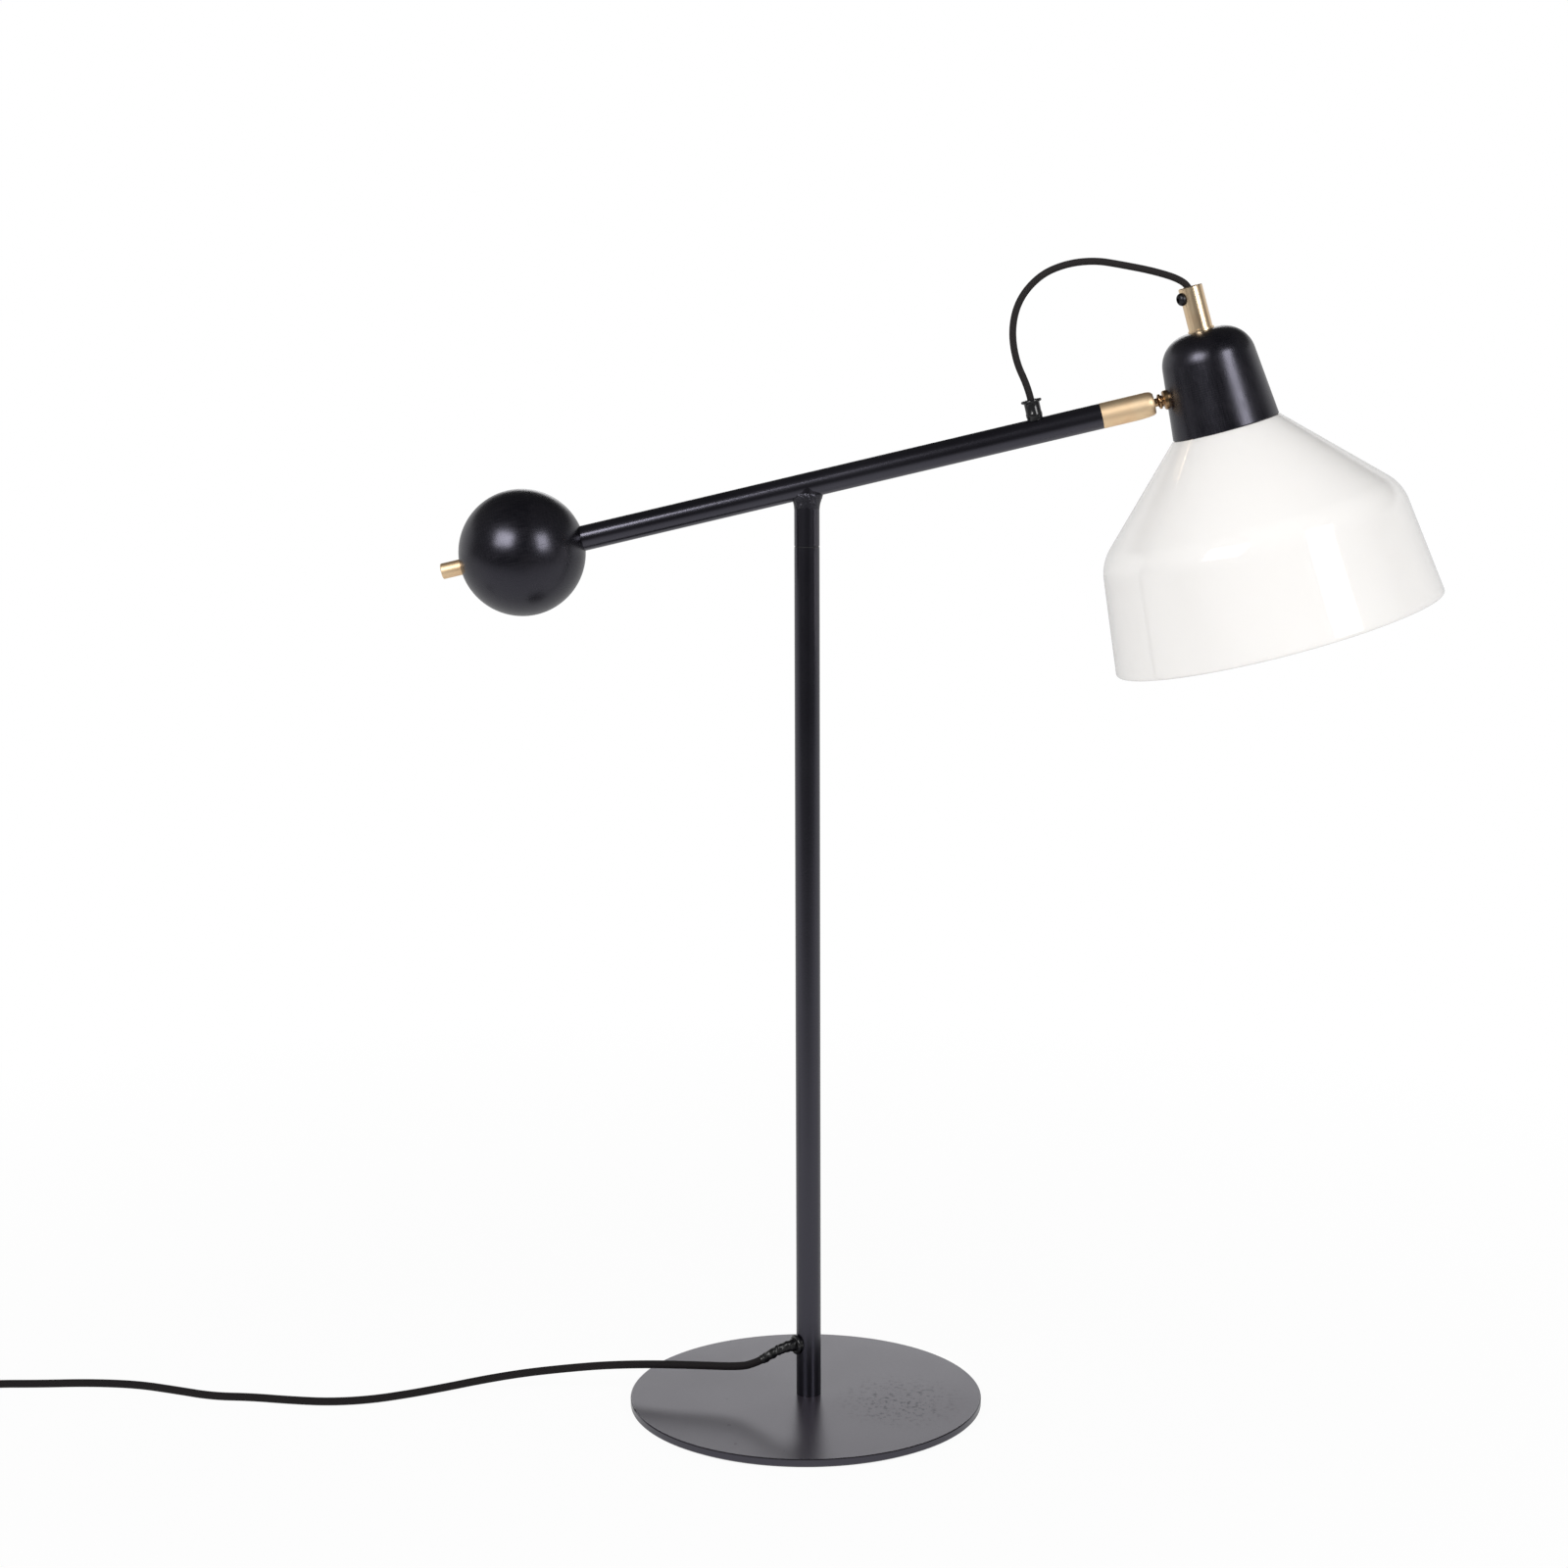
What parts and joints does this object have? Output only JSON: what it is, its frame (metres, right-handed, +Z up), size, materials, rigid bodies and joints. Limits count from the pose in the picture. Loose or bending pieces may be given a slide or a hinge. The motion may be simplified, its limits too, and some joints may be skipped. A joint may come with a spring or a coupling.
{
  "type": "desk lamp",
  "caption": "Desk lamp: round plate, pole, swivelling tilted arm with a wooden ball at one end and a ball-jointed opal glass shade at the other, fabric cord and plug.",
  "frame": {"origin": "centre of the base's resting face on the table", "axes": "+Z up; +X from the pole towards the shade, along the arm seen from above; +Y away from the side the picture shows"},
  "size_m": [1.1666, 0.278, 0.7411],
  "materials": {
    "painted_black": "satin black powder coat",
    "zinc_steel": "zinc plated steel",
    "brass": "brushed brass, lacquered",
    "black_wood": "turned wood, stained black, satin lacquer",
    "black_plastic": "glossy black moulding",
    "matte_black_plastic": "matte black moulding",
    "nylon": "natural nylon",
    "rubber_pad": "matte black rubber",
    "black_fabric": "braided textile cord cover, near black",
    "opal_glass": "opal white glass, glossy",
    "bulb_opal": "opal bulb glass",
    "ceramic": "unglazed lampholder ceramic",
    "black_steel": "black oxide steel"
  },
  "bodies": {
    "stand": {"base_plate": "painted_black", "foot_pad": "rubber_pad", "pole_foot_plug": "zinc_steel", "base_screw": "zinc_steel", "pole_tube": "painted_black", "base_cord_gland": "black_plastic", "lead_sleeve": "matte_black_plastic", "pole_lead": "black_fabric", "pole_top_bush": "zinc_steel", "swivel_nipple": "zinc_steel", "swivel_washer": "nylon", "swivel_locknut": "zinc_steel", "mains_lead": "black_fabric", "switch_lower_shell": "matte_black_plastic", "switch_upper_shell": "matte_black_plastic", "switch_screws": "zinc_steel", "switch_lead": "black_fabric", "lead_coil": "black_fabric", "plug_tail": "black_fabric", "lead_tie": "matte_black_plastic", "plug_body": "matte_black_plastic", "plug_pins": "brass"},
    "arm": {"stub_tube": "painted_black", "stub_bush": "zinc_steel", "arm_weld": "painted_black", "arm_tube": "painted_black", "ball_weight": "black_wood", "ball_rod": "brass", "arm_end_plug": "zinc_steel", "arm_cord_gland": "black_plastic", "arm_lead": "black_fabric", "joint_housing": "brass", "joint_springs": "zinc_steel", "joint_backing_screw": "zinc_steel", "loop_cord_lower": "black_fabric"},
    "joint_cup": {"joint_seat_cup": "nylon"},
    "head": {"joint_stud": "brass", "stud_washer": "zinc_steel", "stud_nut": "zinc_steel", "wooden_cap": "black_wood", "grip_tube": "brass", "clamp_screw": "black_steel", "head_nipple": "zinc_steel", "head_nut": "zinc_steel", "lampholder_cap": "matte_black_plastic", "lampholder_body": "matte_black_plastic", "lampholder_insert": "ceramic", "lampholder_contacts": "brass", "shade_ring": "matte_black_plastic", "glass_shade": "opal_glass", "bulb_glass": "bulb_opal", "bulb_base": "brass", "head_lead": "black_fabric", "loop_cord_upper": "black_fabric"},
    "rocker": {"switch_rocker": "matte_black_plastic"}
  },
  "joints": [
    {"name": "arm_swivel", "type": "hinge", "parent": "stand", "child": "arm", "pos_m": [0.002, 0, 0.5626], "axis": [0, 0, 1], "range_deg": [-170, 170]},
    {"name": "head_roll", "type": "hinge", "parent": "arm", "child": "joint_cup", "pos_m": [0.21238, 0, 0.64996], "axis": [0.974, 0, 0.2267], "range_deg": [-75, 75], "deforming": ["loop_cord_lower", "loop_cord_upper"]},
    {"name": "head_nod", "type": "hinge", "parent": "joint_cup", "child": "head", "pos_m": [0.21238, 0, 0.64996], "axis": [0, 1, 0], "range_deg": [-22.6, 27.4], "deforming": ["loop_cord_lower", "loop_cord_upper"]},
    {"name": "switch_press", "type": "hinge", "parent": "stand", "child": "rocker", "pos_m": [-0.631, 0.009, 0.015], "axis": [0, 1, 0], "range_deg": [-14, 0]}
  ]
}
